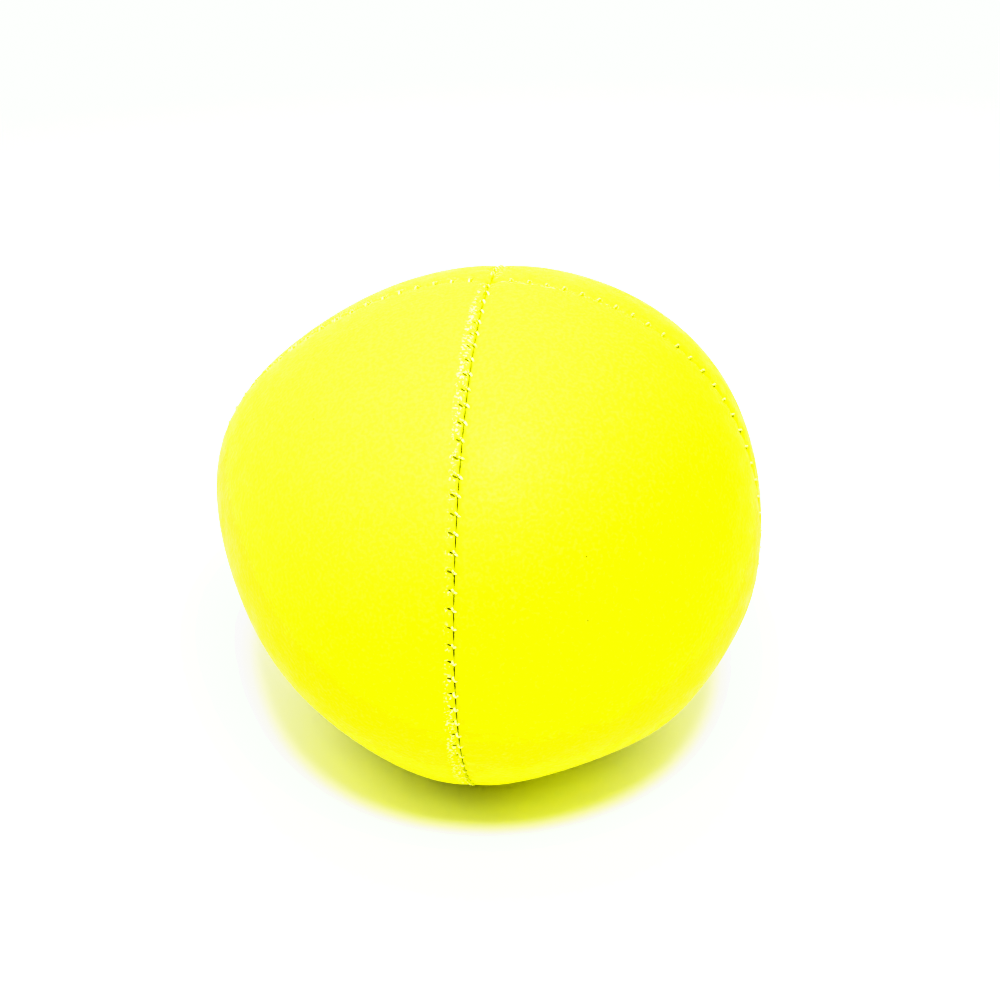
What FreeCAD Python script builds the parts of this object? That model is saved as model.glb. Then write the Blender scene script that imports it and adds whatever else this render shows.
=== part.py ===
import FreeCAD, Part

import math
import os

from FreeCAD import Matrix, Placement, Rotation, Vector

# Four-panel leather juggling ball, filled with grain and sewn from the inside.
# Frame: millimetres, +Z up, +Y to the back, origin at the middle of the flat patch that the
# ball rests on. The four panels run from pole to pole like the peel of an orange. The pole
# axis passes through the ball's middle and leans back, as the ball happens to lie.

# --- the sagged ball ---
ball_width = 70.0  # greatest width, the same along X and Y
ball_height = 64.0  # from the floor to the crown
widest_height = 30.5  # height of the greatest width above the floor
floor_sink = 1.4  # how far the lower half would reach below the floor if nothing held it up

# --- the leather ---
leather = 1.1  # thickness of the hide
seam_allowance = 3.5  # how far a turned-in hem reaches below the inner face of the skin
hem_gap = 0.1  # between the two hems of a seam
pole_relief = 1.0  # radius of the opening where the four panel tips meet

# --- how the ball lies ---
pole_lean = 17.0  # degrees that the upper pole leans back from vertical
seam_turn = -7.2  # degrees that the seams are turned about the pole axis, +X way round

# --- the sewing ---
thread = 0.4  # thread diameter
thread_clearance = 0.02  # between a thread and its needle hole or the hem that it lies on
stitch_pitch = 2.3  # machine stitch length
stitch_drop = 0.8  # from the inner face of the skin down to the stitch line
pole_margin = 2.6  # bare seam between the pole axis and the first needle hole
closing_length = 22.0  # stretch of the back seam that is closed by hand after filling
hand_pitch = 2.75  # hand stitch length
knot_radius = 0.8  # knot that ends the hand-sewn thread

# --- the filling ---
fill_clearance = 0.1  # between the grain and the leather or thread round it

SEAMS = {"front": 0, "right": 90, "back": 180, "left": 270}  # degrees about the pole axis
PANELS = {
    "panel_front_right": "front",
    "panel_back_right": "right",
    "panel_back_left": "back",
    "panel_front_left": "left",
}  # each panel starts at the seam named here and ends at the next one
CLOSED_BY_HAND = "back"

half_width = ball_width / 2
thread_radius = thread / 2
hem_depth = leather + seam_allowance
stitch_depth = leather + stitch_drop  # from the outer face of the ball to the stitch line
hem_face = hem_gap / 2 + leather  # from a seam's middle plane to a hem's free face
run_offset = hem_face + thread_radius + thread_clearance  # to the thread on the free face
run_far_side = run_offset + thread_radius
bend = thread_radius * 1.2  # radius of the thread's turn into its needle hole
far = ball_width + ball_height  # longer than anything in the ball
middle = Vector(0, 0, widest_height)


def reaches(depth):
    """Half width and upper and lower half heights of the ball, moved inwards by depth."""
    across = half_width - depth
    up = ball_height - widest_height - depth
    down = widest_height + floor_sink - depth
    return across, up, down


def ellipse_arc(across, reach, start, end):
    unit = [Vector(math.cos(a), 0, math.sin(a)) for a in (start, (start + end) / 2, end)]
    stretch = Matrix()
    stretch.scale(across, 1, reach)
    return Part.Arc(*unit).toShape().transformGeometry(stretch)


def body(depth):
    """The ball as one solid, every face moved inwards by depth."""
    across, up, down = reaches(depth)
    floor = depth - widest_height
    low = math.asin(floor / down)
    corner = Vector(across * math.cos(low), 0, floor)
    foot, crown = Vector(0, 0, floor), Vector(0, 0, up)
    profile = Part.Wire([
        ellipse_arc(across, up, math.pi / 2, 0),
        ellipse_arc(across, down, 0, low),
        Part.makeLine(corner, foot),
        Part.makeLine(foot, crown),
    ])
    solid = Part.Face(profile).revolve(Vector(0, 0, 0), Vector(0, 0, 1), 360)
    solid.translate(middle)
    return solid


def seam_place(angle):
    """Places a seam: local Z is the pole axis, local X points out through the seam."""
    lean = Rotation(Vector(1, 0, 0), -pole_lean)
    turn = Rotation(Vector(0, 0, 1), angle + seam_turn - 90)
    return Placement(middle, lean * turn)


def wedge(angle, setback):
    """Quarter of space from one seam's plane to the next, set back from both planes."""
    box = Part.makeBox(far, far, 2 * far, Vector(setback, setback, -far))
    box.Placement = seam_place(angle)
    return box


def hem_slabs(angle):
    """The two flat slabs, one leather thick, that lie along a panel's two seam planes."""
    start = hem_gap / 2
    along = Part.makeBox(far, leather, 2 * far, Vector(start, start, -far))
    across = Part.makeBox(leather, far, 2 * far, Vector(start, start, -far))
    slabs = along.fuse(across)
    slabs.Placement = seam_place(angle)
    return slabs


def seam_point(angle, from_pole, depth):
    """Point on a seam's plane, depth below the ball's face, in the seam's own frame."""
    local = Vector(math.sin(from_pole), 0, math.cos(from_pole))
    way = seam_place(angle).Rotation.multVec(local)
    across, up, down = reaches(depth)
    half_height = up if way.z > 0 else down
    flat = math.hypot(way.x, way.y) / across
    reach = 1 / math.hypot(flat, way.z / half_height)
    if way.z < 0:
        reach = min(reach, (widest_height - depth) / -way.z)
    return local * reach


def stitch_line(angle):
    """Fine chain of points along a seam's stitch line with the length up to each one."""
    steps = 2000
    points = [seam_point(angle, math.pi * i / steps, stitch_depth) for i in range(steps + 1)]
    points = [p for p in points if p.x >= pole_margin]
    lengths = [0.0]
    for before, after in zip(points, points[1:]):
        lengths.append(lengths[-1] + before.distanceToPoint(after))
    return points, lengths


def stations(angle, start, end, pitch):
    """Needle holes evenly spaced along a stretch of the stitch line."""
    points, lengths = stitch_line(angle)
    count = max(2, round((end - start) / pitch) + 1)
    wanted = [start + (end - start) * i / (count - 1) for i in range(count)]
    holes = []
    for length in wanted:
        nearest = min(range(len(points)), key=lambda i: abs(lengths[i] - length))
        holes.append(points[nearest])
    return holes


def seam_runs(name):
    """Stretches of machine stitching and of hand stitching on a seam, as lists of holes."""
    angle = SEAMS[name]
    whole = stitch_line(angle)[1][-1]
    if name != CLOSED_BY_HAND:
        return [stations(angle, 0, whole, stitch_pitch)], []
    low = (whole - closing_length) / 2
    high = low + closing_length
    machine = [
        stations(angle, 0, low, stitch_pitch),
        stations(angle, high, whole, stitch_pitch),
    ]
    hand = stations(angle, low + hand_pitch, high - hand_pitch, hand_pitch)
    return machine, hand


def direction(start, end):
    return (end - start).normalize()


def run_end(hole, following, side):
    """Where a stitch that runs along the hem stops, just short of the next hole's leg."""
    along = direction(hole, following)
    return following + Vector(0, side * run_offset, 0) - along * (thread_radius + thread_clearance)


def stitch(hole, following, side, leg_start):
    """One stitch: out through its hole, round a tight turn and along to the next hole."""
    along = direction(hole, following)
    out = Vector(0, side, 0)
    start = hole + out * leg_start
    top = hole + out * (run_offset - bend)
    bend_centre = top + along * bend
    halfway = bend_centre + (out - along) * (bend * math.sqrt(0.5))
    turned = bend_centre + out * bend
    path = Part.Wire([
        Part.makeLine(start, top),
        Part.Arc(top, halfway, turned).toShape(),
        Part.makeLine(turned, run_end(hole, following, side)),
    ])
    section = Part.Wire(Part.makeCircle(thread_radius, start, out))
    return path.makePipeShell([section], True, False)


def last_leg(hole, side):
    return Part.makeCylinder(thread_radius, run_far_side, hole, Vector(0, side, 0))


def machine_thread(name, side):
    """Needle or bobbin thread of a seam: it lies on one hem, and its legs meet the other
    thread's legs in the middle plane of the seam."""
    pieces = []
    for holes in seam_runs(name)[0]:
        for hole, following in zip(holes, holes[1:]):
            pieces.append(stitch(hole, following, side, 0))
        pieces.append(last_leg(holes[-1], side))
    return placed(pieces, SEAMS[name])


def hand_thread(name):
    """Ladder stitching: each rung crosses both hems, and each rail runs along one of them,
    left and right by turns."""
    holes = seam_runs(name)[1]
    pieces = []
    for i, (hole, following) in enumerate(zip(holes, holes[1:])):
        pieces.append(stitch(hole, following, rail_side(i), -run_far_side))
    return placed(pieces, SEAMS[name])


def rail_side(index):
    return 1 if index % 2 == 0 else -1


def hand_knot(name):
    """Knot against the hem, at the end of the last rail and a little deeper in the ball."""
    holes = seam_runs(name)[1]
    hole, following = holes[-2:]
    side = rail_side(len(holes) - 2)
    at = run_end(hole, following, side) + direction(hole, following) * knot_radius
    at.y = side * (hem_face + thread_clearance + knot_radius)
    at -= Vector(at.x, 0, at.z).normalize() * thread
    return placed([Part.makeSphere(knot_radius, at)], SEAMS[name])


def placed(pieces, angle):
    group = Part.makeCompound(pieces)
    group.Placement = seam_place(angle)
    return group


def needle_holes(name):
    machine, hand = seam_runs(name)
    radius = thread_radius + thread_clearance
    reach = run_far_side
    drills = []
    for hole in [h for run in machine + [hand] for h in run]:
        start = hole - Vector(0, reach, 0)
        drills.append(Part.makeCylinder(radius, 2 * reach, start, Vector(0, 1, 0)))
    return placed(drills, SEAMS[name])


def panel(first_seam):
    """One leather panel: skin, a hem turned in along each seam, needle holes in the hems."""
    angle = SEAMS[first_seam]
    next_seam = next(n for n, a in SEAMS.items() if a == (angle + 90) % 360)
    outside = body(0)
    skin = outside.cut(body(leather))
    hems = outside.cut(body(hem_depth)).common(hem_slabs(angle))
    tip_hole = Part.makeCylinder(pole_relief, 2 * far, Vector(0, 0, -far))
    tip_hole.Placement = seam_place(angle)
    piece = skin.common(wedge(angle, hem_gap / 2)).fuse(hems).common(wedge(angle, hem_gap / 2))
    piece = piece.cut(tip_hole).cut(needle_holes(first_seam)).cut(needle_holes(next_seam))
    return piece.removeSplitter()


def grain():
    """The grain as one mass: it fills the skin and leaves a channel for hems and thread."""
    inside = body(leather + fill_clearance)
    filling = body(hem_depth + fill_clearance)
    channel = run_far_side + fill_clearance
    for angle in SEAMS.values():
        filling = filling.fuse(inside.common(wedge(angle, channel)))
    knot = hand_knot(CLOSED_BY_HAND).BoundBox
    pocket = Part.makeSphere(knot_radius + fill_clearance, knot.Center)
    return filling.cut(pocket).removeSplitter()


def main():
    nodes = {name: panel(first_seam) for name, first_seam in PANELS.items()}
    for name in SEAMS:
        nodes[f"needle_thread_{name}"] = machine_thread(name, 1)
        nodes[f"bobbin_thread_{name}"] = machine_thread(name, -1)
    nodes["closing_thread"] = hand_thread(CLOSED_BY_HAND)
    nodes["closing_knot"] = hand_knot(CLOSED_BY_HAND)
    nodes["grain_filling"] = grain()
    os.makedirs("parts", exist_ok=True)
    for name, shape in nodes.items():
        shape.exportStep(f"parts/{name}.step")
        print(f"{name}: {len(shape.Solids)} solids, {shape.Volume / 1000:.2f} cm3, {shape.isValid()}")


main()
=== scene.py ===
# %% [markdown]
# # A leather juggling ball
# Four yellow leather panels, sewn from the inside and packed tight with grain. The CAD model
# gives the sizes and the place. Here the ball gets its looks: leather that rolls into its seams,
# puckers at every stitch and sags a little, thread that crosses the seams, and the finishes.
#
# The first cell loads the CAD model, which is called the frame. Every length below is in metres.

import math

import bmesh
import bpy
import numpy as np
from mathutils import Matrix, Vector, noise


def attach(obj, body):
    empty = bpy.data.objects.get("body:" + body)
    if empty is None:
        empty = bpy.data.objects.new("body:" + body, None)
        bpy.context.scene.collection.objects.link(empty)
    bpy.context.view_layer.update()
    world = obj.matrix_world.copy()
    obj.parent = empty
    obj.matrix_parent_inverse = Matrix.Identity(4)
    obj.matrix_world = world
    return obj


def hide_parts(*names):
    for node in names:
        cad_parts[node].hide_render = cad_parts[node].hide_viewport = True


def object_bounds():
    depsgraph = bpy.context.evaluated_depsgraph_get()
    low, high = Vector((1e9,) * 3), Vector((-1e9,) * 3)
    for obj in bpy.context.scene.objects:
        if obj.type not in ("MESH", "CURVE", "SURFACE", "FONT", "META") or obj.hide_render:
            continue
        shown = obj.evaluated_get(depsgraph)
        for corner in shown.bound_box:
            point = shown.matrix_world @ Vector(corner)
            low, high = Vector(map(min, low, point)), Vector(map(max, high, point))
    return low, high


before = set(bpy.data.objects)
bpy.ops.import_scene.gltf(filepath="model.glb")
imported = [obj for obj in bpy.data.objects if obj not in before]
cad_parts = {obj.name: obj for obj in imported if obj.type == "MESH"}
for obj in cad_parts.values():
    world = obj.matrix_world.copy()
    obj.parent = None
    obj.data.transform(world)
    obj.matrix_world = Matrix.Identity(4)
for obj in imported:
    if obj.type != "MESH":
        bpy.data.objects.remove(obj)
cad_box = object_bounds()
MM = 0.001
lowest, highest = (Vector(corner) for corner in cad_box)
print("CAD box in mm:", [round(side / MM, 1) for side in highest - lowest])

# %% [markdown]
# ## The sagged shape
# A ball full of grain isn't a true ball. It is a little wider than tall, it stands on a small
# flat patch, and hands have left it with soft shoulders and dents. One function can describe
# all of that: it tells how far the face is from the ball's middle in any direction. Every
# piece below asks the same function, so the leather, the thread and the grain always fit.
#
# A direction is a bearing, in degrees from the front towards the right, and a height in
# degrees above the level of the middle.

# %% The face of the ball
HALF_WIDTH = (highest.x - lowest.x) / 2
WIDEST_HEIGHT = 30.5 * MM
UPPER_REACH = highest.z - WIDEST_HEIGHT
LOWER_REACH = WIDEST_HEIGHT + 1.4 * MM
MIDDLE = np.array([0, 0, WIDEST_HEIGHT])
FLOOR_BLEND = 1.8 * MM

# bearing, height, how far the leather stands out, and how many degrees the shape spreads
# These rows weren't chosen by eye. A program fitted them to the ball's outline by least squares.
# They were rounded, and some were then changed.
SHOULDERS_AND_DENTS = [
    (115, 29, 0.95 * MM, 22),
    (94, 5, -0.6 * MM, 17),
    (69, -26, -1.1 * MM, 10),
    (32, -49, -3.4 * MM, 11),
    (-50, -40, -2.4 * MM, 13),
    (-75, -19, -2.1 * MM, 18),
    (-104, 18, 1.6 * MM, 14),
    (-141, 46, -0.75 * MM, 26),
]


def toward(bearing, height):
    """Unit vector for a bearing and a height in degrees."""
    b, h = math.radians(bearing), math.radians(height)
    return np.array([math.sin(b) * math.cos(h), -math.cos(b) * math.cos(h), math.sin(h)])


def reach(ways):
    """How far the face is from the middle along unit vectors, an array of shape (n, 3)."""
    half_height = np.where(ways[:, 2] > 0, UPPER_REACH, LOWER_REACH)
    flat = np.hypot(ways[:, 0], ways[:, 1]) / HALF_WIDTH
    body = 1 / np.hypot(flat, ways[:, 2] / half_height)
    for bearing, height, amount, spread in SHOULDERS_AND_DENTS:
        away = np.degrees(np.arccos(np.clip(ways @ toward(bearing, height), -1, 1)))
        body = body + amount * np.exp(-0.5 * (away / spread) ** 2)
    floor = WIDEST_HEIGHT / np.maximum(-ways[:, 2], 0.01)
    near = np.maximum(FLOOR_BLEND - np.abs(body - floor), 0) / FLOOR_BLEND
    return np.minimum(body, floor) - near ** 2 * FLOOR_BLEND / 4


# %% [markdown]
# ## Poles and seams
# The four panels meet at two poles, like the peel of an orange. The ball happens to lie with
# its upper pole leaning back. A place on the leather is given by two angles: `polar`, down
# from the upper pole, and `turn`, round the pole axis from the front.

# %% Angles on the ball
POLE_LEAN = math.radians(17)
SEAM_TURN = math.radians(-7.2)
SEAMS = {"front": 0, "right": 1, "back": 2, "left": 3}
LEAN = np.array(Matrix.Rotation(-POLE_LEAN, 3, "X"))


def way_out(polar, turn):
    """Unit vectors for angles from the upper pole and round the pole axis, both arrays."""
    side, ahead = np.sin(polar) * np.sin(turn), np.sin(polar) * np.cos(turn)
    return np.stack([side, -ahead, np.cos(polar)], axis=-1) @ LEAN.T


def face_point(polar, turn):
    ways = way_out(polar, turn)
    return MIDDLE + ways * reach(ways)[:, None]


def face_normal(polar, turn, step=0.004):
    """Outward normals, from the slope between four points close round each place."""
    wider = step / np.maximum(np.sin(polar), 0.02)
    down = face_point(polar + step, turn) - face_point(polar - step, turn)
    across = face_point(polar, turn + wider) - face_point(polar, turn - wider)
    normal = np.cross(down, across)
    return normal / np.linalg.norm(normal, axis=1)[:, None]


def seam_turn(seam):
    return SEAM_TURN + math.pi / 2 * SEAMS[seam]


# %% [markdown]
# ## Where the stitches are
# A sewing machine makes every stitch the same length, so the stitches are found by walking
# along each seam and marking equal steps. The back seam has a stretch in its middle where
# the grain was poured in. It is closed by hand, with longer stitches.

# %% Stitch places
STITCH_PITCH = 2.3 * MM
HAND_PITCH = 2.75 * MM
CLOSING_LENGTH = 22 * MM
POLE_MARGIN = 2.6 * MM
CLOSED_BY_HAND = "back"


def seam_walk(seam, steps=4000):
    """Angles down from the pole along a seam, and the length of seam above each one."""
    polar = np.linspace(0, math.pi, steps + 1)
    points = face_point(polar, np.full_like(polar, seam_turn(seam)))
    pieces = np.linalg.norm(np.diff(points, axis=0), axis=1)
    return polar, np.concatenate([[0], np.cumsum(pieces)])


def even_marks(start, end, pitch):
    return np.linspace(start, end, round((end - start) / pitch) + 1)


# for each seam, angles down from the pole and the length of seam above each one
WALKS = {seam: seam_walk(seam) for seam in SEAMS}
MACHINE_MARKS, HAND_MARKS = {}, {}
for seam, (polar, length) in WALKS.items():
    first, last = POLE_MARGIN, length[-1] - POLE_MARGIN
    if seam == CLOSED_BY_HAND:
        low = (first + last - CLOSING_LENGTH) / 2
        high = low + CLOSING_LENGTH
        upper_marks = even_marks(first, low, STITCH_PITCH)
        lower_marks = even_marks(high, last, STITCH_PITCH)
        MACHINE_MARKS[seam] = np.concatenate([upper_marks, lower_marks])
        HAND_MARKS[seam] = even_marks(low + HAND_PITCH, high - HAND_PITCH, HAND_PITCH)
    else:
        MACHINE_MARKS[seam] = even_marks(first, last, STITCH_PITCH)
        HAND_MARKS[seam] = np.array([])
    print(seam, "seam:", round(length[-1] / MM, 1), "mm,", len(MACHINE_MARKS[seam]), "stitches")
ALL_MARKS = {
    seam: np.sort(np.concatenate([MACHINE_MARKS[seam], HAND_MARKS[seam]])) for seam in SEAMS
}

# %% [markdown]
# ## How leather behaves at a seam
# The panels are sewn face to face and then turned, so each edge rolls over and dives into the
# ball. Every stitch pulls its bit of edge down and leaves a pit with a short furrow, and the
# leather between two stitches swells back up. The pull fades out a few millimetres away.
#
# The real way to make this is to pull thread through cloth. Here a few smooth functions of
# two distances do it: `along` the seam from the nearest stitch, and `off` the seam.

# %% Pull of the stitches
EDGE_ROLL = 0.55 * MM
GAP = 0.05 * MM
GAP_BETWEEN_STITCHES = 0.13 * MM
HEM = 4.2 * MM
PIT_OFF = 0.56 * MM
PIT_SLANT = math.radians(27)
PIT_DEPTH, PIT_HALF_LENGTH, PIT_HALF_WIDTH = 0.5 * MM, 0.25 * MM, 0.13 * MM
DIP_DEPTH, DIP_SIZE = 0.14 * MM, 0.22 * MM
DIP_ALONG, DIP_OFF = 0.3 * MM, 0.45 * MM
PUCKER_DEPTH, PUCKER_REACH = 0.15 * MM, 0.9 * MM
RIPPLE_DEPTH, RIPPLE_REACH, RIPPLE_SPREAD = 0.05 * MM, 2.4 * MM, 1.5 * MM
TROUGH_DEPTH, TROUGH_REACH = 0.26 * MM, 1.5 * MM
STRENGTH_SPREAD = 0.35


def bump_at(distance, width):
    return np.exp(-0.5 * (distance / width) ** 2)


def from_stitch(seam, along_seam):
    """Signed distance along the seam from the nearest stitch, and that stitch's number."""
    marks = ALL_MARKS[seam]
    right = np.clip(np.searchsorted(marks, along_seam), 1, len(marks) - 1)
    left = right - 1
    nearer_left = along_seam - marks[left] < marks[right] - along_seam
    nearest = np.where(nearer_left, left, right)
    return along_seam - marks[nearest], nearest


def stitch_count(seam, along_seam):
    """A number that grows by one from each stitch to the next, for patterns in a finish."""
    marks = ALL_MARKS[seam]
    inside = np.interp(along_seam, marks, np.arange(len(marks)))
    before = np.minimum(along_seam - marks[0], 0) / STITCH_PITCH
    after = np.maximum(along_seam - marks[-1], 0) / STITCH_PITCH
    return before + inside + after


def swell(seam, along_seam):
    """From 0 at each stitch to 1 halfway to the next one."""
    along = from_stitch(seam, along_seam)[0]
    return 0.5 - 0.5 * np.cos(2 * math.pi * np.clip(along / STITCH_PITCH, -0.5, 0.5))


def uneven(numbers, seed):
    """A fixed value from -1 to 1 for each stitch number, so no two stitches look alike. It is
    read from the far digits of a large sine, which jump about as if drawn by lot."""
    return np.sin(numbers * 12.9898 + seed * 78.233) * 43758.5453 % 1 * 2 - 1


def seam_pull(seam, along_seam, off, leading):
    """Depth that the stitches pull the leather in, for one side of a seam. The leading side
    is where the needle went in, so it has the slanted pits."""
    along, stitch = from_stitch(seam, along_seam)
    seed = SEAMS[seam] * 2 + leading
    tight = 1 - swell(seam, along_seam)
    strength = 1 + STRENGTH_SPREAD * uneven(stitch, seed)
    pucker = PUCKER_DEPTH * strength * tight * np.exp(-off / PUCKER_REACH)
    ripple_reach = RIPPLE_REACH + RIPPLE_SPREAD * uneven(stitch, seed + 5)
    ripple = RIPPLE_DEPTH * tight * np.exp(-off / ripple_reach)
    trough = TROUGH_DEPTH * np.exp(-off / TROUGH_REACH)
    if not leading:
        dip = DIP_DEPTH * bump_at(np.hypot(along - DIP_ALONG, off - DIP_OFF), DIP_SIZE)
        return pucker + ripple + trough + strength * dip
    toward_gap = PIT_OFF - off
    lengthwise = toward_gap * math.cos(PIT_SLANT) + along * math.sin(PIT_SLANT)
    across = along * math.cos(PIT_SLANT) - toward_gap * math.sin(PIT_SLANT)
    pit = PIT_DEPTH * bump_at(lengthwise, PIT_HALF_LENGTH) * bump_at(across, PIT_HALF_WIDTH)
    return pucker + ripple + trough + strength * pit


# %% [markdown]
# ## The leather panels
# A panel is a spindle of leather. A bmesh spin makes it: one point swings down from pole to
# pole and leaves an arc, and the arc swings a quarter turn and leaves a grid. The grid is then
# moved onto the ball. Its columns crowd together near the two seams, where the detail is,
# and the outermost ones turn down into the gap as hems.

# %% Panel helpers
ROWS = 460
HEM_COLUMNS, ROLL_COLUMNS, SKIN_COLUMNS = 3, 7, 36
HALF_COLUMNS = HEM_COLUMNS + ROLL_COLUMNS + SKIN_COLUMNS
COLUMN_GROWTH = 1.085
TIP_ROWS = 3
TIP_GAP = 0.75 * MM
TIP_STEP = 0.6 * MM
TIP_ROLL = 0.5 * MM
LEATHER = 1.1 * MM
PULL_FADES, PULL_LEFT = 0.8 * MM, 0.3
WEAR_OFF, WEAR_HALF_WIDTH, WEAR_PATCH = 0.9 * MM, 0.45 * MM, 0.5 * MM
WEAR_WAVE = 8.5 * MM
PANELS = {
    "panel_front_right": ("front", "right"),
    "panel_back_right": ("right", "back"),
    "panel_back_left": ("back", "left"),
    "panel_front_left": ("left", "front"),
}


def spun_grid(name):
    """A quarter of a unit ball as a grid, made by spinning one point and then its arc."""
    bm = bmesh.new()
    start = bm.verts.new((0, 0, 1))
    whole, quarter = math.pi, math.pi / 2
    bmesh.ops.spin(bm, geom=[start], cent=(0, 0, 0), axis=(0, 1, 0), angle=whole, steps=ROWS)
    arc = bm.verts[:] + bm.edges[:]
    columns = 2 * HALF_COLUMNS
    # the arc is widened for a moment, so that its two ends leave points of their own
    bmesh.ops.translate(bm, vec=(1, 0, 0), verts=bm.verts)
    bmesh.ops.spin(bm, geom=arc, cent=(0, 0, 0), axis=(0, 0, 1), angle=quarter, steps=columns)
    mesh = bpy.data.meshes.new(name)
    bm.to_mesh(mesh)
    bm.free()
    return mesh


def get_points(mesh):
    points = np.zeros(len(mesh.vertices) * 3)
    mesh.vertices.foreach_get("co", points)
    return points.reshape(-1, 3)


def set_points(mesh, points):
    mesh.vertices.foreach_set("co", points.ravel())
    mesh.update()


def column_shape(column, half_width, half_gap):
    """For columns counted from a seam: how far off the seam and how deep each one lies."""
    roll = np.minimum(EDGE_ROLL, 0.45 * half_width)
    hem = np.minimum(HEM, 1.5 * half_width)
    hem_share = np.clip(1 - column / HEM_COLUMNS, 0, 1)
    angle = np.clip((column - HEM_COLUMNS) / ROLL_COLUMNS, 0, 1) * math.pi / 2
    steps = np.clip(column - HEM_COLUMNS - ROLL_COLUMNS, 0, SKIN_COLUMNS)
    grown = (COLUMN_GROWTH ** steps - 1) / (COLUMN_GROWTH ** SKIN_COLUMNS - 1)
    skin_start = half_gap + roll
    off = half_gap + roll * (1 - np.cos(angle)) + (half_width - skin_start) * grown
    depth = roll * (1 - np.sin(angle)) + hem * hem_share
    return off, depth


def tip_depths(row, polar):
    """The last rows at each tip turn down beside the pole axis."""
    past = np.maximum(TIP_ROWS - row, row - (ROWS - TIP_ROWS))
    to_pole = np.minimum(polar, math.pi - polar) * HALF_WIDTH - TIP_GAP
    return np.maximum(past, 0) * TIP_STEP + TIP_ROLL * np.exp(-to_pole / TIP_ROLL)


def store(mesh, name, values):
    layer = mesh.attributes.new(name, "FLOAT", "POINT")
    layer.data.foreach_set("value", values.astype(np.float32))


def wear_near(seam, along_seam, off):
    """Where handling has cracked the finish: a band beside the seam that comes and goes, and
    a patch round each needle hole."""
    band = bump_at(off - WEAR_OFF, WEAR_HALF_WIDTH)
    comes_and_goes = 0.5 + 0.5 * np.sin(along_seam / WEAR_WAVE + SEAMS[seam] * 1.7 - 0.8)
    along = from_stitch(seam, along_seam)[0]
    patch = bump_at(np.hypot(along, off - PIT_OFF), WEAR_PATCH)
    return band * (0.25 + 0.75 * comes_and_goes ** 2) + 0.45 * patch


def grid_numbers(mesh):
    """Row and column of every point, read back from where the two spins put it."""
    grid = get_points(mesh)
    out = np.hypot(grid[:, 0], grid[:, 1]) - 1
    row = np.round(np.arctan2(out, grid[:, 2]) / math.pi * ROWS)
    column = np.round(np.arctan2(grid[:, 1], grid[:, 0]) / (math.pi / 2) * 2 * HALF_COLUMNS)
    return row, column


def row_polar(row):
    """Angle down from the upper pole for each row. The tips stop just short of the poles."""
    tip = TIP_GAP / HALF_WIDTH
    usable = np.clip((row - TIP_ROWS) / (ROWS - 2 * TIP_ROWS), 0, 1)
    return tip + usable * (math.pi - 2 * tip)


def make_panel(name, seams):
    mesh = spun_grid(name)
    row, column = grid_numbers(mesh)
    leading = column > HALF_COLUMNS
    from_seam = np.where(leading, 2 * HALF_COLUMNS - column, column)
    polar = row_polar(row)
    along = [np.interp(polar, *WALKS[seam]) for seam in seams]
    opening = np.where(leading, swell(seams[1], along[1]), swell(seams[0], along[0]))

    turn_a = seam_turn(seams[0])
    middle_way = way_out(polar, np.full_like(polar, turn_a + math.pi / 4))
    axis_distance = reach(middle_way) * np.sin(polar)
    half_gap = GAP / 2 + GAP_BETWEEN_STITCHES / 2 * opening
    off, depth = column_shape(from_seam, axis_distance * math.pi / 4, half_gap)
    swing = off / axis_distance
    turn = np.where(leading, turn_a + math.pi / 2 - swing, turn_a + swing)

    count = np.where(leading, stitch_count(seams[1], along[1]), stitch_count(seams[0], along[0]))
    store(mesh, "stitch_count", count)
    store(mesh, "off_seam", np.where(leading, off, -off) / MM)
    store(mesh, "depth", depth / MM)
    store(mesh, "wear", np.where(leading, wear_near(seams[1], along[1], off), 0))

    shown = np.clip(1 - depth / PULL_FADES, PULL_LEFT, 1)
    for side, seam in enumerate(seams):
        here = leading == (side == 1)
        to_seam = np.where(here, off, axis_distance * math.pi / 2 - off)
        depth = depth + seam_pull(seam, along[side], to_seam, leading=side == 1) * shown
    depth = depth + tip_depths(row, polar)
    set_points(mesh, face_point(polar, turn) - face_normal(polar, turn) * depth[:, None])
    return mesh


# %% Make the panels
def put_in_scene(name, mesh, replaced):
    """Adds a finished mesh at the origin, riding the ball's only body."""
    piece = bpy.data.objects.new(name, mesh)
    bpy.context.scene.collection.objects.link(piece)
    for polygon in mesh.polygons:
        polygon.use_smooth = True
    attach(piece, "root")
    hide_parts(*replaced)
    return piece


def facing_out(mesh):
    """Turns the whole mesh round if its faces look towards the ball's middle."""
    centres = np.zeros(len(mesh.polygons) * 3)
    normals = np.zeros(len(mesh.polygons) * 3)
    mesh.polygons.foreach_get("center", centres)
    mesh.polygons.foreach_get("normal", normals)
    outward = ((centres.reshape(-1, 3) - MIDDLE) * normals.reshape(-1, 3)).sum()
    if outward < 0:
        mesh.flip_normals()


leather_panels = []
for panel_name, seams in PANELS.items():
    mesh = make_panel(panel_name, seams)
    facing_out(mesh)
    panel = put_in_scene("leather_" + panel_name, mesh, [panel_name])
    wall = panel.modifiers.new("thickness", "SOLIDIFY")
    wall.thickness = LEATHER
    wall.offset = -1
    leather_panels.append(panel)
    area = sum(polygon.area for polygon in mesh.polygons)
    print(panel.name, "has", len(mesh.polygons), "faces,", round(area * 1e4, 1), "cm2")

# %% [markdown]
# ## The grain
# The filling never shows, but it is what gives the ball its shape and weight, so it is here:
# one closed body just inside the leather, with the knobbly face of packed seed. It could be
# thousands of grains, but they would only make the file heavy. An icosphere is a good start,
# because its points are spread evenly, and noise pushes each of them in or out a little.

# %% The filling
GRAIN_DEPTH = 2.6 * MM
GRAIN_BUMPS = 0.3 * MM
BUMPS_ROUND_BALL = 22


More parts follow.
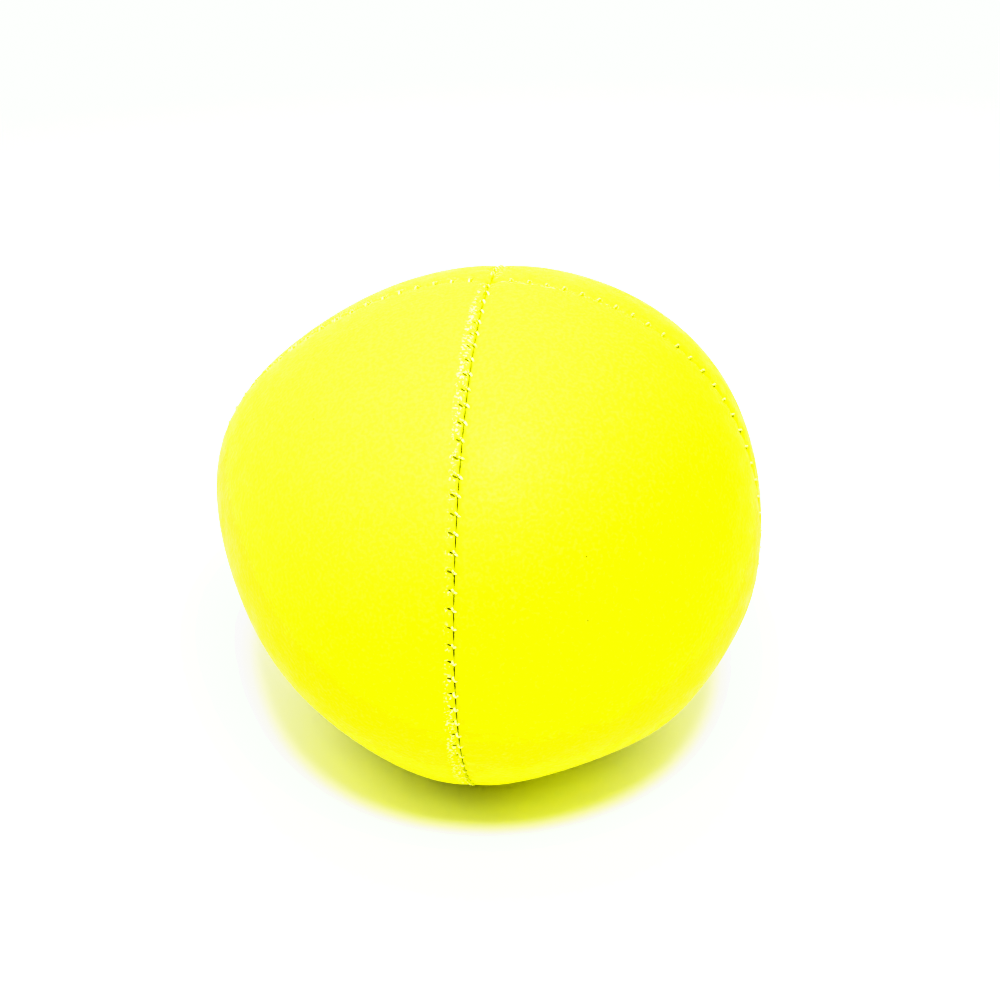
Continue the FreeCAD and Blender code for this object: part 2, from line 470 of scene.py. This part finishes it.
def make_filling(name):
    bm = bmesh.new()
    bmesh.ops.create_icosphere(bm, subdivisions=6, radius=1)
    mesh = bpy.data.meshes.new(name)
    bm.to_mesh(mesh)
    bm.free()
    ways = get_points(mesh)
    ways /= np.linalg.norm(ways, axis=1)[:, None]
    knobs = np.array([noise.noise(Vector(way) * BUMPS_ROUND_BALL) for way in ways])
    inner = reach(ways) - GRAIN_DEPTH - GRAIN_BUMPS * knobs
    set_points(mesh, MIDDLE + ways * inner[:, None])
    return mesh


filling = put_in_scene("filling", make_filling("filling"), ["grain_filling"])
print(filling.name, "has", len(filling.data.polygons), "faces")

# %% [markdown]
# ## The cut of the leather
# Each panel is a flat spindle before it is sewn. It is as wide as a quarter of the way round
# the ball and two hems, and as long as the way from pole to pole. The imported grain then
# stretches it round.

# %% [markdown]
# ## The thread
# What shows of the sewing is one short bridge of thread at each stitch. It comes up beside
# its pit, crosses the gap on a slant and dives in on the other side. A curve
# with a bevel would do too. A ring of points that is extruded step by step is chosen, because
# it keeps each of the many stitches down to a few dozen faces.

# %% Stitches
THREAD = 0.31 * MM
BRIDGE_STEPS = 6
RING_POINTS = 6
BRIDGE_ENDS = (-0.23 * MM, 0.38 * MM)
BRIDGE_SLANT = 0.46 * MM
BRIDGE_DIVE = 0.75 * MM
BRIDGE_RISE = 0.70 * MM
BRIDGE_FLATNESS = 0.55
BRIDGE_LEVEL_AT = 0.45
END_SPREAD, SLANT_SPREAD, RISE_SPREAD = 0.12 * MM, 0.5, 0.10
POLAR_STEP = 0.01


def seam_frame(seam, along_seam):
    """A seam's point at a length from the pole, with its way down, way right and way out."""
    angles, lengths = WALKS[seam]
    polar = np.interp([along_seam], lengths, angles)
    turn = np.full(1, seam_turn(seam))
    point = face_point(polar, turn)[0]
    normal = face_normal(polar, turn)[0]
    down = face_point(polar + POLAR_STEP, turn)[0] - face_point(polar - POLAR_STEP, turn)[0]
    down /= np.linalg.norm(down)
    return Vector(point), Vector(down), Vector(np.cross(normal, down)), Vector(normal)


def tube(bm, route, radius, length_layer):
    """Extrudes a ring of points along a route, closes both ends and notes the length."""
    ring, ends, length = None, None, 0.0
    for n, point in enumerate(route):
        ahead = route[min(n + 1, len(route) - 1)] - route[max(n - 1, 0)]
        turned = ahead.to_track_quat("Z", "Y").to_matrix().to_4x4()
        if ring is None:
            place = Matrix.Translation(point) @ turned
            made = bmesh.ops.create_circle(
                bm, cap_ends=True, segments=RING_POINTS, radius=radius, matrix=place
            )
            ring = made["verts"]
            ends = [face for face in ring[0].link_faces]
        else:
            made = bmesh.ops.extrude_face_region(bm, geom=ends)
            ring = [item for item in made["geom"] if isinstance(item, bmesh.types.BMVert)]
            ends = [item for item in made["geom"] if isinstance(item, bmesh.types.BMFace)]
            bmesh.ops.translate(bm, vec=point - route[n - 1], verts=ring)
            length += (point - route[n - 1]).length
        for vert in ring:
            vert[length_layer] = length


def bridge_route(seam, mark, number):
    """From the pit's lower end, over the gap and into the other edge."""
    point, down, across, normal = seam_frame(seam, mark)
    start, end = BRIDGE_ENDS
    seed = SEAMS[seam]
    end += END_SPREAD * uneven(number, seed)
    slant = BRIDGE_SLANT * (1 + SLANT_SPREAD * uneven(number, seed + 2))
    rise = BRIDGE_RISE * (1 + RISE_SPREAD * uneven(number, seed + 4))
    route = []
    for step in range(BRIDGE_STEPS + 1):
        share = step / BRIDGE_STEPS
        sideways = start + (end - start) * share
        height = -BRIDGE_DIVE + rise * math.sin(math.pi * share) ** BRIDGE_FLATNESS
        lower = slant * (share - BRIDGE_LEVEL_AT)
        route.append(point + across * sideways + down * lower + normal * height)
    return route


def make_stitches(name, seam, marks, replaced):
    bm = bmesh.new()
    length_layer = bm.verts.layers.float.new("thread_length")
    for number, mark in enumerate(marks):
        tube(bm, bridge_route(seam, mark, number), THREAD / 2, length_layer)
    bmesh.ops.recalc_face_normals(bm, faces=bm.faces)
    mesh = bpy.data.meshes.new(name)
    bm.to_mesh(mesh)
    bm.free()
    print(name, "has", len(marks), "stitches and", len(mesh.polygons), "faces")
    return put_in_scene(name, mesh, replaced)


stitches = []
for seam in SEAMS:
    replaced = [f"needle_thread_{seam}", f"bobbin_thread_{seam}"]
    stitches.append(make_stitches(f"stitches_{seam}", seam, MACHINE_MARKS[seam], replaced))
hand_marks = HAND_MARKS[CLOSED_BY_HAND]
stitches.append(make_stitches("closing_stitches", CLOSED_BY_HAND, hand_marks, ["closing_thread"]))

# %% [markdown]
# ## How the finishes are built
# Every finish is a tree of nodes. A few small helpers make the trees short to write: one
# adds a node and plugs in its inputs, and the others wrap the nodes that are used most. All
# patterns are laid out on Object coordinates, in metres, so their sizes are real sizes.

# %% Node helpers
def new_finish(name):
    material = bpy.data.materials.new(name)
    material.use_nodes = True
    tree = material.node_tree
    shader = next(n for n in tree.nodes if n.type == "BSDF_PRINCIPLED")
    return material, tree, shader


def node(tree, kind, inputs, **settings):
    """Adds a node. An input is either a fixed value or another node's output."""
    made = tree.nodes.new("ShaderNode" + kind)
    for name, value in settings.items():
        setattr(made, name, value)
    for name, value in inputs.items():
        if isinstance(value, bpy.types.NodeSocket):
            tree.links.new(value, made.inputs[name])
        else:
            made.inputs[name].default_value = value
    return made


def maths(tree, operation, first, second=0.0):
    return node(tree, "Math", {0: first, 1: second}, operation=operation).outputs[0]


def ramp(tree, value, low, high, start=0.0, end=1.0):
    """Runs smoothly from start to end as value goes from low to high."""
    inputs = {"Value": value, "From Min": low, "From Max": high, "To Min": start, "To Max": end}
    return node(tree, "MapRange", inputs, interpolation_type="SMOOTHSTEP").outputs["Result"]


def cloud(tree, place, size, detail=2.0):
    """Soft noise, from 0 to 1, whose lumps are about as large as size."""
    inputs = {"Vector": place, "Scale": 1 / size, "Detail": detail}
    return node(tree, "TexNoise", inputs).outputs["Fac"]


def blend(tree, share, under, over):
    return node(tree, "MixRGB", {"Fac": share, "Color1": under, "Color2": over}).outputs["Color"]


def dent(tree, height, depth, strength, under=None):
    """A bump layer. under is the normal of the layer below it."""
    inputs = {"Height": height, "Distance": depth, "Strength": strength}
    if under is not None:
        inputs["Normal"] = under
    return node(tree, "Bump", inputs).outputs["Normal"]


def stored(tree, name):
    return node(tree, "Attribute", {}, attribute_name=name).outputs["Fac"]


# %% [markdown]
# ## Leather
# The hide is dyed a yellow so strong that it almost glows, then pressed and polished. Up close
# it has a fine pebble grain, soft cloudy patches where it took the dye unevenly, and a few
# dark specks. Its upper left is painted paler, a painted sheen from light above and behind.
# Beside the seams the finish has cracked and pale flecks show. Each needle hole is a slanted
# slot painted dark as shade, and the cut edges down in the gap are darker than the face,
# partly their own raw tone and partly painted shade.
#
# A painted image could be wrapped round the ball, but nodes give detail at any size. The
# patterns near a seam follow the numbers stored on each panel: how far off the seam a point is, how
# deep it lies, and the count of stitches along the seam.

# %% Leather helpers
DYE = (0.72, 0.77, 0.006, 1)
WARM_DYE = (0.73, 0.76, 0.003, 1)
SOFT_DYE = (0.72, 0.78, 0.035, 1)
# painted sheen: a paler yellow laid on the upper left, where light from above and behind shines
PAINTED_SHEEN = (0.71, 0.78, 0.075, 1)
FLECK = (0.90, 0.94, 0.22, 1)
SPECK = (0.16, 0.17, 0.006, 1)
# painted shade for the inside of each needle hole
HOLE_SHADE = (0.18, 0.18, 0.002, 1)
# the cut edges in the gap: partly their own darker raw tone, partly painted shade
CUT_EDGE_AND_SHADE = (0.66, 0.66, 0.001, 1)
SHEEN_WAY = (-0.35, 0, 0.94)
SHEEN_START, SHEEN_END = 30 * MM, 66 * MM
HOLE_HALF_LENGTH, HOLE_HALF_WIDTH = 0.29, 0.13
HOLE_WANDER = 0.16
PATCH_SIZE, MOTTLE_SIZE, CRUMB_SIZE = 9 * MM, 0.45 * MM, 0.33 * MM
SPECK_SPACING, SPECK_RADIUS, SPECKS_KEPT = 5.5 * MM, 0.17 * MM, 0.5
EDGE_SHADE_STARTS, EDGE_SHADE_ENDS = 0.25, 0.7
RIPPLE_SIZE, PEBBLE_SIZE, PORE_SIZE, POLISH_SIZE = 3.2 * MM, 0.55 * MM, 0.16 * MM, 2.4 * MM


def hole_mask(tree):
    """1 inside each needle hole: a slanted oval beside the seam, in millimetres."""
    count = stored(tree, "stitch_count")
    number = maths(tree, "FLOOR", maths(tree, "ADD", count, 0.5))
    chance = node(tree, "TexWhiteNoise", {"W": number}, noise_dimensions="1D").outputs["Value"]
    along = maths(tree, "MULTIPLY", maths(tree, "SUBTRACT", count, number), STITCH_PITCH / MM)
    wander = maths(tree, "MULTIPLY", maths(tree, "SUBTRACT", chance, 0.5), HOLE_WANDER)
    to_gap = maths(tree, "SUBTRACT", maths(tree, "ADD", wander, PIT_OFF / MM), stored(tree, "off_seam"))
    turned = node(
        tree,
        "VectorRotate",
        {"Vector": node(tree, "CombineXYZ", {"X": to_gap, "Y": along}).outputs[0], "Angle": -PIT_SLANT},
        rotation_type="Z_AXIS",
    ).outputs[0]
    part = node(tree, "SeparateXYZ", {"Vector": turned}).outputs
    length = maths(tree, "DIVIDE", part["X"], HOLE_HALF_LENGTH)
    width = maths(tree, "DIVIDE", part["Y"], HOLE_HALF_WIDTH)
    squares = maths(tree, "ADD", maths(tree, "POWER", length, 2.0), maths(tree, "POWER", width, 2.0))
    size = ramp(tree, chance, 0.0, 1.0, 0.75, 1.25)
    return ramp(tree, maths(tree, "DIVIDE", squares, size), 1.5, 0.5)


def specks(tree, place, spacing, radius, kept):
    """Sparse dots: one for each cell of a loose grid, of which only a share is kept."""
    inputs = {"Vector": place, "Scale": 1 / spacing, "Randomness": 1.0}
    cells = node(tree, "TexVoronoi", inputs).outputs
    dot = ramp(tree, cells["Distance"], radius / spacing, 0.5 * radius / spacing)
    chance = node(tree, "SeparateColor", {"Color": cells["Color"]}).outputs["Red"]
    return maths(tree, "MULTIPLY", dot, maths(tree, "LESS_THAN", chance, kept))


# %% Leather
def leather_colour(tree, place, hole):
    warm = ramp(tree, cloud(tree, place, PATCH_SIZE, 3.0), 0.35, 0.7)
    colour = blend(tree, warm, DYE, WARM_DYE)
    mottle = cloud(tree, place, MOTTLE_SIZE, 3.0)
    soft = ramp(tree, mottle, 0.45, 0.75, 0.0, 0.9)
    colour = blend(tree, soft, colour, SOFT_DYE)
    # painted sheen: the leather turns paler towards the upper left, a little mottled
    toward_sheen = node(tree, "VectorMath", {0: place, 1: SHEEN_WAY}, operation="DOT_PRODUCT")
    sheen_share = ramp(tree, toward_sheen.outputs["Value"], SHEEN_START, SHEEN_END)
    sheen_share = maths(tree, "MULTIPLY", sheen_share, ramp(tree, mottle, 0.35, 0.65, 0.75, 1.0))
    colour = blend(tree, sheen_share, colour, PAINTED_SHEEN)
    crumbs = ramp(tree, cloud(tree, place, CRUMB_SIZE, 1.0), 0.50, 0.62)
    flecks = maths(tree, "MULTIPLY", crumbs, stored(tree, "wear"))
    colour = blend(tree, ramp(tree, flecks, 0.2, 0.7), colour, FLECK)
    dark = specks(tree, place, SPECK_SPACING, SPECK_RADIUS, SPECKS_KEPT)
    colour = blend(tree, dark, colour, SPECK)
    # darker the deeper a point lies in the gap: partly the raw edge's own tone, partly painted shade
    edge = ramp(tree, stored(tree, "depth"), EDGE_SHADE_STARTS, EDGE_SHADE_ENDS)
    colour = blend(tree, edge, colour, CUT_EDGE_AND_SHADE)
    # painted shade: each needle hole is painted dark
    return blend(tree, hole, colour, HOLE_SHADE)


def leather_relief(tree, place, hole):
    ripples = dent(tree, cloud(tree, place, RIPPLE_SIZE, 2.0), 0.25 * MM, 0.35)
    inputs = {"Vector": place, "Scale": 1 / PEBBLE_SIZE, "Smoothness": 0.6}
    grain = node(tree, "TexVoronoi", inputs, feature="SMOOTH_F1").outputs["Distance"]
    grained = dent(tree, grain, 0.11 * MM, 0.5, ripples)
    pored = dent(tree, cloud(tree, place, PORE_SIZE, 2.0), 0.035 * MM, 0.5, grained)
    sunk = maths(tree, "SUBTRACT", 1.0, hole)
    return dent(tree, sunk, 0.3 * MM, 0.8, pored)


def make_leather():
    material, tree, shader = new_finish("dyed_hide")
    place = node(tree, "TexCoord", {}).outputs["Object"]
    hole = hole_mask(tree)
    tree.links.new(leather_colour(tree, place, hole), shader.inputs["Base Color"])
    tree.links.new(leather_relief(tree, place, hole), shader.inputs["Normal"])
    polish = ramp(tree, cloud(tree, place, POLISH_SIZE, 3.0), 0.3, 0.75, 0.42, 0.56)
    worn = maths(tree, "MULTIPLY", stored(tree, "wear"), 0.25)
    roughness = maths(tree, "ADD", polish, worn)
    tree.links.new(roughness, shader.inputs["Roughness"])
    shader.inputs["Specular IOR Level"].default_value = 0.08
    return material


# %% [markdown]
# ## Thread, grain and knot
# The thread is spun from three plies, so slanted bands run round it, with fine fuzz on top.
# The grooves between the plies are painted darker, as painted shade.
# The bands follow the length that each stitch stored while it was extruded. The grain is
# millet: round cells in warm straw colours, with painted shade in the gaps between them. The
# hand-tied knot is the CAD model's own piece, and it takes the thread's finish.

# %% Thread and grain
PLY_LENGTH, PLY_SLANT = 0.42 * MM, 0.5 * MM
FUZZ_SIZE = 0.07 * MM
# painted shade for the grooves between the plies
PLY_GROOVE_SHADE = (0.86, 0.88, 0.15, 1)
ON_PLIES = (0.94, 0.95, 0.24, 1)
FUZZ = (0.96, 0.97, 0.34, 1)
SEED_SIZE = 1.9 * MM
DARK_SEED = (0.62, 0.42, 0.14, 1)
LIGHT_SEED = (0.82, 0.66, 0.30, 1)
# painted shade for the gaps between the seeds
SHADE_BETWEEN_SEEDS = (0.10, 0.06, 0.02, 1)


def make_thread():
    material, tree, shader = new_finish("spun_thread")
    place = node(tree, "TexCoord", {}).outputs["Object"]
    length = maths(tree, "MULTIPLY", stored(tree, "thread_length"), 2 * math.pi / PLY_LENGTH)
    height = node(tree, "SeparateXYZ", {"Vector": place}).outputs["Z"]
    slant = maths(tree, "MULTIPLY", height, 2 * math.pi / PLY_SLANT)
    plies = ramp(tree, maths(tree, "SINE", maths(tree, "ADD", length, slant)), -1.0, 1.0)
    fuzz = cloud(tree, place, FUZZ_SIZE, 3.0)
    # painted shade: the grooves between the plies are painted darker
    colour = blend(tree, plies, PLY_GROOVE_SHADE, ON_PLIES)
    colour = blend(tree, ramp(tree, fuzz, 0.45, 0.75, 0.0, 0.5), colour, FUZZ)
    tree.links.new(colour, shader.inputs["Base Color"])
    wound = dent(tree, plies, 0.05 * MM, 0.7)
    tree.links.new(dent(tree, fuzz, 0.02 * MM, 0.5, wound), shader.inputs["Normal"])
    tree.links.new(ramp(tree, fuzz, 0.2, 0.8, 0.6, 0.85), shader.inputs["Roughness"])
    shader.inputs["Sheen Weight"].default_value = 0.2
    return material


def make_grain():
    material, tree, shader = new_finish("millet")
    place = node(tree, "TexCoord", {}).outputs["Object"]
    inputs = {"Vector": place, "Scale": 1 / SEED_SIZE, "Randomness": 0.7}
    seeds = node(tree, "TexVoronoi", inputs).outputs
    seed_tone = node(tree, "SeparateColor", {"Color": seeds["Color"]}).outputs["Red"]
    colour = blend(tree, seed_tone, DARK_SEED, LIGHT_SEED)
    # painted shade: the gaps between the seeds are painted near black
    gap_shade = ramp(tree, seeds["Distance"], 0.35, 0.6)
    seed_colour = blend(tree, gap_shade, colour, SHADE_BETWEEN_SEEDS)
    tree.links.new(seed_colour, shader.inputs["Base Color"])
    round_seed = maths(tree, "SUBTRACT", 1.0, seeds["Distance"])
    tree.links.new(dent(tree, round_seed, 0.8 * MM, 0.9), shader.inputs["Normal"])
    tree.links.new(ramp(tree, seed_tone, 0.0, 1.0, 0.35, 0.6), shader.inputs["Roughness"])
    return material


# %% Put the finishes on
leather, thread_finish, millet = make_leather(), make_thread(), make_grain()
for panel in leather_panels:
    panel.data.materials.append(leather)
for piece in stitches:
    piece.data.materials.append(thread_finish)
filling.data.materials.append(millet)
for knot_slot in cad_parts["closing_knot"].material_slots:
    knot_slot.material = thread_finish
print("finishes:", leather.name, thread_finish.name, millet.name)

# %% [markdown]
# ## Floor and light
# The ball lies on a plain white table. A round softbox hangs above it and a little towards the
# camera, so the shadow stays tucked under the ball, and in it the table catches only yellow
# light that comes off the leather. A dim white tent fills in from behind. A sun lamp would
# make the shadow's edge too hard, and a tent alone would spread it over the whole table.

# %% Floor
FLOOR_HALF_WIDTH = 3


def make_floor():
    bm = bmesh.new()
    bmesh.ops.create_grid(bm, x_segments=1, y_segments=1, size=FLOOR_HALF_WIDTH)
    mesh = bpy.data.meshes.new("floor")
    bm.to_mesh(mesh)
    bm.free()
    floor = bpy.data.objects.new("floor", mesh)
    bpy.context.scene.collection.objects.link(floor)
    material, tree, shader = new_finish("white_table")
    shader.inputs["Base Color"].default_value = (0.97, 0.97, 0.97, 1)
    shader.inputs["Roughness"].default_value = 0.4
    shader.inputs["Specular IOR Level"].default_value = 0.2
    mesh.materials.append(material)


make_floor()

# %% Softbox
SOFTBOX_WAY = Vector(toward(6, 68))
SOFTBOX_DISTANCE = 1.0
SOFTBOX_SIZE = 0.35
SOFTBOX_POWER = 14.5


def make_softbox():
    lamp = bpy.data.lights.new("softbox", "AREA")
    lamp.shape = "DISK"
    lamp.size = SOFTBOX_SIZE
    lamp.energy = SOFTBOX_POWER
    softbox = bpy.data.objects.new("softbox", lamp)
    bpy.context.scene.collection.objects.link(softbox)
    softbox.location = Vector(MIDDLE) + SOFTBOX_WAY * SOFTBOX_DISTANCE
    softbox.rotation_euler = (-SOFTBOX_WAY).to_track_quat("-Z", "Y").to_euler()


make_softbox()

# %% Tent
TENT_WAY = toward(-172, 55)
TENT_DIM, TENT_BRIGHT = 0.0, 0.85
TENT_DIM_FROM, TENT_BRIGHT_FROM = -0.25, 0.9


def make_tent():
    """White light all round, brightest in the direction TENT_WAY."""
    world = bpy.data.worlds.new("tent")
    world.use_nodes = True
    tree = world.node_tree
    sky = node(tree, "TexCoord", {}).outputs["Generated"]
    facing = node(tree, "VectorMath", {0: sky, 1: TENT_WAY}, operation="DOT_PRODUCT").outputs["Value"]
    brightness = ramp(tree, facing, TENT_DIM_FROM, TENT_BRIGHT_FROM, TENT_DIM, TENT_BRIGHT)
    background = next(n for n in tree.nodes if n.type == "BACKGROUND")
    background.inputs["Color"].default_value = (1, 1, 1, 1)
    tree.links.new(brightness, background.inputs["Strength"])
    bpy.context.scene.world = world


make_tent()

# %% [markdown]
# ## Exposure
# A bright object on white is exposed high, and film holds its highlights on a soft shoulder:
# colours near full brightness bunch up just below white, and the open table goes white.
# Deep yellows lose their last trace of blue, and red stays a touch below green, which makes
# the yellow lemon. The look adds contrast, and three tone curves add the shoulder and the rest.

# %% Tone
SHOULDER = [(0.45, 0.45), (0.55, 0.53), (0.7, 0.565), (1.55, 0.578), (1.65, 0.70)]
RED_SHOULDER = [(0.53, 0.53), (0.58, 0.548), (0.68, 0.68)]
BLUE_TOE = [(0.035, 0.006), (0.08, 0.045), (0.15, 0.125), (0.25, 0.25)]
BRIGHTEST = 3.0


def set_tone():
    view = bpy.context.scene.view_settings
    view.view_transform = "Standard"
    view.look = "Very High Contrast"
    view.use_curve_mapping = True
    mapping = view.curve_mapping
    mapping.use_clip = False
    red, _, blue, combined = mapping.curves
    for curve, places in ((red, RED_SHOULDER), (blue, BLUE_TOE), (combined, SHOULDER)):
        # the curve's own end point moves out, past the brightest light in the scene
        curve.points[1].location = (BRIGHTEST, BRIGHTEST)
        for place in places:
            curve.points.new(*place)
        for point in curve.points:
            point.handle_type = "VECTOR"
    mapping.update()


set_tone()

# %% [markdown]
# ## Camera
# The camera looks down on the ball from the front, close enough that the seam's stitches
# can be counted. Its shift and blur stay off.

# %% Camera
CAMERA_HEIGHT_ANGLE = math.radians(37)
CAMERA_DISTANCE = 0.42
VIEW_WIDTH = 0.1281
AIM_RIGHT, AIM_UP = 1.2 * MM, 3.5 * MM
camera_data = bpy.data.cameras.new("camera")
camera = bpy.data.objects.new("camera", camera_data)
bpy.context.scene.collection.objects.link(camera)
to_camera = Vector((0, -math.cos(CAMERA_HEIGHT_ANGLE), math.sin(CAMERA_HEIGHT_ANGLE)))
picture_up = Vector((0, math.sin(CAMERA_HEIGHT_ANGLE), math.cos(CAMERA_HEIGHT_ANGLE)))
aim_at = Vector(MIDDLE) + Vector((AIM_RIGHT, 0, 0)) + picture_up * AIM_UP
camera.location = aim_at + to_camera * CAMERA_DISTANCE
camera.rotation_euler = (-to_camera).to_track_quat("-Z", "Y").to_euler()
camera_data.angle = 2 * math.atan(VIEW_WIDTH / 2 / CAMERA_DISTANCE)
bpy.context.scene.camera = camera
print("camera at", [round(c, 3) for c in camera.location])
